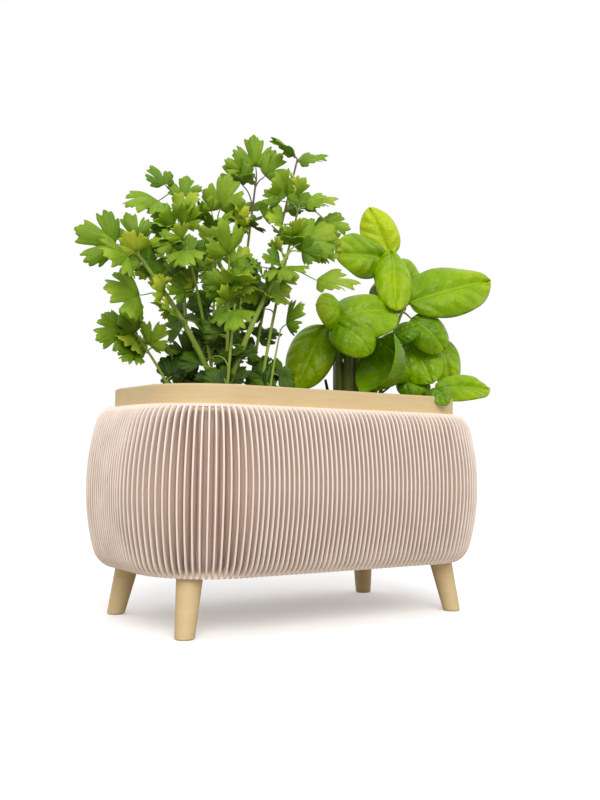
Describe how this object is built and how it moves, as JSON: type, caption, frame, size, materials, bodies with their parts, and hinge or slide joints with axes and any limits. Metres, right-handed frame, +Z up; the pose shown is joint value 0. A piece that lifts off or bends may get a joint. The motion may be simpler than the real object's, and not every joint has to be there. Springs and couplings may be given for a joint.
{
  "type": "herb pot",
  "caption": "Long rounded planter with a pleated matte body and a tan rim, standing on splayed tapered legs, with potted coriander and basil inside a lift-out liner.",
  "frame": {"origin": "centre of the object's footprint, on the surface that the feet stand on", "axes": "+X along the planter to its right, +Y from front to back, +Z up"},
  "size_m": [0.3783, 0.1916, 0.3923],
  "materials": {
    "pleats": "matte pale blush",
    "tan": "matte tan",
    "steel": "zinc plated",
    "nursery_pot": "matte black",
    "soil": "loose dark potting soil",
    "dry_stalk": "dry and dark",
    "coriander_leaf": "satin green",
    "coriander_stalk": "satin green",
    "basil_leaf": "glossy green",
    "basil_stalk": "satin green"
  },
  "bodies": {
    "stand": {"leg_front_left": "tan", "leg_front_right": "tan", "leg_rear_left": "tan", "leg_rear_right": "tan", "leg_screws": "steel", "leg_washers": "steel", "pleated_shell": "pleats"},
    "liner": {"liner": "tan"},
    "coriander": {"coriander_leaves_01": "coriander_leaf", "coriander_leaves_02": "coriander_leaf", "coriander_leaves_03": "coriander_leaf", "coriander_leaves_04": "coriander_leaf", "coriander_leaves_05": "coriander_leaf", "coriander_leaves_06": "coriander_leaf", "coriander_leaves_07": "coriander_leaf", "coriander_leaves_08": "coriander_leaf", "coriander_leaves_09": "coriander_leaf", "coriander_leaves_10": "coriander_leaf", "coriander_leaves_11": "coriander_leaf", "coriander_leaves_12": "coriander_leaf", "coriander_pot": "nursery_pot", "coriander_soil": "soil", "coriander_stalk_01": "coriander_stalk", "coriander_stalk_02": "coriander_stalk", "coriander_stalk_03": "coriander_stalk", "coriander_stalk_04": "coriander_stalk", "coriander_stalk_05": "coriander_stalk", "coriander_stalk_06": "coriander_stalk", "coriander_stalk_07": "coriander_stalk", "coriander_stalk_08": "coriander_stalk", "coriander_stalk_09": "coriander_stalk", "coriander_stalk_10": "coriander_stalk", "coriander_stalk_11": "coriander_stalk", "coriander_stalk_12": "coriander_stalk"},
    "basil": {"basil_dry_stalk": "dry_stalk", "basil_leaves_01": "basil_leaf", "basil_leaves_02": "basil_leaf", "basil_leaves_03": "basil_leaf", "basil_leaves_04": "basil_leaf", "basil_leaves_05": "basil_leaf", "basil_leaves_06": "basil_leaf", "basil_pot": "nursery_pot", "basil_soil": "soil", "basil_stem_01": "basil_stalk", "basil_stem_02": "basil_stalk", "basil_stem_03": "basil_stalk", "basil_stem_04": "basil_stalk", "basil_stem_05": "basil_stalk", "basil_stem_06": "basil_stalk"}
  },
  "joints": [
    {"name": "liner_lift", "type": "slide", "parent": "stand", "child": "liner", "axis": [0, 0, 1], "range_m": [0, 0.12]},
    {"name": "coriander_lift", "type": "slide", "parent": "liner", "child": "coriander", "axis": [0, 0, 1], "range_m": [0, 0.13]},
    {"name": "basil_lift", "type": "slide", "parent": "liner", "child": "basil", "axis": [0, 0, 1], "range_m": [0, 0.13]}
  ]
}
